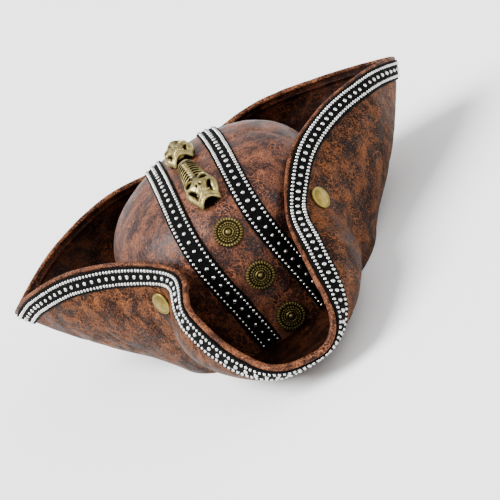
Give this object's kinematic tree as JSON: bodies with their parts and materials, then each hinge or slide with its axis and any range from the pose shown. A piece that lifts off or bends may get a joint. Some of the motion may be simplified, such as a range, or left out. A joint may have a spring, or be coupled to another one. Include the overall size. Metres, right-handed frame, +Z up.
{
  "type": "tricorn costume hat",
  "caption": "Leather-look tricorn costume hat: oval panelled crown in a brim turned up all round, with beaded trims, medallions, skeletons and press-studded front flaps.",
  "frame": {"origin": "centre of the head opening, at the level of the underside that the hat rests on", "axes": "+Z up; the front of the hat faces -Y; +X is on the right of someone who looks at its front"},
  "size_m": [0.3416, 0.3366, 0.133],
  "materials": {
    "crown_cloth": "crackled imitation leather, dark reddish brown",
    "brim_cloth": "crackled imitation leather, brown worn to orange",
    "inner_cloth": "crackled imitation leather, very dark brown",
    "stiffener": "stiff pressed felt",
    "lining": "thin black woven lining",
    "sweatband": "smooth dark band",
    "trim_ribbon": "black ribbon that carries silver beads",
    "old_brass": "antique brass, bright on its high points",
    "bone_brass": "pale antique brass, dark in its hollows",
    "snap_brass": "polished pale brass",
    "thread": "dark thread"
  },
  "bodies": {
    "hat_body": {"crown_centre_panel": "crown_cloth", "crown_left_panel": "crown_cloth", "crown_right_panel": "crown_cloth", "crown_stiffener": "stiffener", "crown_lining": "lining", "sweatband": "sweatband", "crown_trim_left": "trim_ribbon", "crown_trim_right": "trim_ribbon", "medallion_lower": "old_brass", "medallion_middle": "old_brass", "medallion_upper": "old_brass", "medallion_threads": "thread", "skeleton_front": "bone_brass", "skeleton_rear": "bone_brass", "skeleton_threads": "thread", "brim_outer_cover": "brim_cloth", "brim_stiffener": "stiffener", "brim_inner_cover": "inner_cloth", "brim_trim_front": "trim_ribbon", "brim_trim_back": "trim_ribbon", "left_snap_stud": "snap_brass", "right_snap_stud": "snap_brass"},
    "left_flap": {"left_flap_outer_cover": "brim_cloth", "left_flap_stiffener": "stiffener", "left_flap_inner_cover": "inner_cloth", "left_flap_trim": "trim_ribbon", "left_snap_cap": "snap_brass", "left_snap_socket": "snap_brass"},
    "right_flap": {"right_flap_outer_cover": "brim_cloth", "right_flap_stiffener": "stiffener", "right_flap_inner_cover": "inner_cloth", "right_flap_trim": "trim_ribbon", "right_snap_cap": "snap_brass", "right_snap_socket": "snap_brass"}
  },
  "joints": [
    {"name": "left_flap_fold", "type": "hinge", "parent": "hat_body", "child": "left_flap", "pos_m": [-0.0944, -0.08388, 0.06907], "axis": [0.4461, -0.8569, -0.2582], "range_deg": [0, 25]},
    {"name": "right_flap_fold", "type": "hinge", "parent": "hat_body", "child": "right_flap", "pos_m": [0.0865, -0.08306, 0.05976], "axis": [0.4818, 0.8557, 0.1889], "range_deg": [0, 25]}
  ]
}
